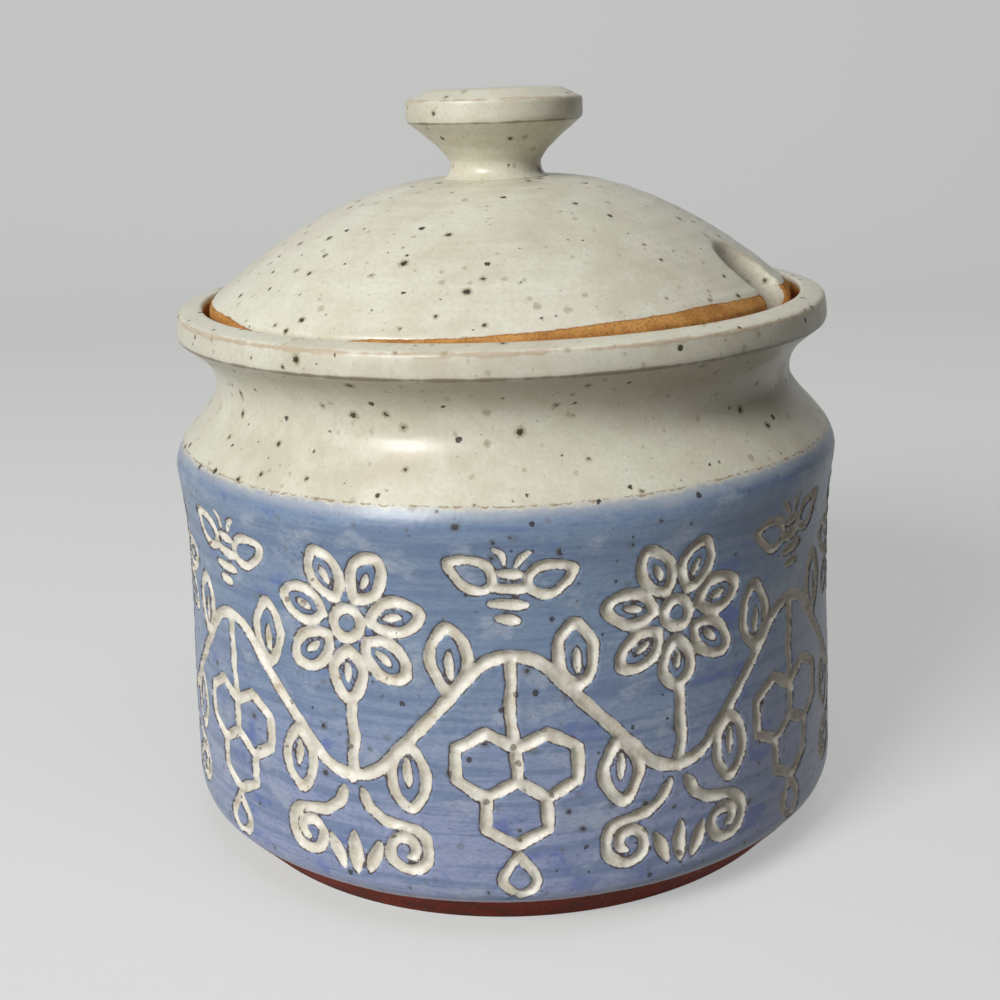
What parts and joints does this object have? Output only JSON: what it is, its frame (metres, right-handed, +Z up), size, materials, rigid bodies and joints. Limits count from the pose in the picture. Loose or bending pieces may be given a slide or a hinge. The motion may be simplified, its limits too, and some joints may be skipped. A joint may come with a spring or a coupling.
{
  "type": "lidded honey pot",
  "caption": "Stoneware honey pot with shoulder and rolled rim, its wall carved with vine, flowers and honeycomb; loose domed lid with knob and spoon notch, seated on a ledge in the rim.",
  "frame": {"origin": "centre of the foot, on the surface that the pot stands on", "axes": "+Z up along the axis on which the pot was thrown, -Y towards the viewer of the front, +X to the viewer's right, the side of the lid's notch"},
  "size_m": [0.1192, 0.1192, 0.1284],
  "materials": {
    "pot_stoneware": "satin blue glaze on the wall, speckled cream glaze on shoulder and rim, bare brown clay on foot and ledge",
    "lid_stoneware": "satin speckled cream glaze, bare orange-brown clay on the edge and seat",
    "knob_stoneware": "satin speckled cream glaze, breaking to tan on the edges"
  },
  "bodies": {
    "pot": {"pot": "pot_stoneware"},
    "lid": {"lid": "lid_stoneware", "knob": "knob_stoneware"}
  },
  "joints": [
    {"name": "lid_lift", "type": "slide", "parent": "pot", "child": "lid", "axis": [0, 0, 1], "range_m": [0, 0.08]}
  ]
}
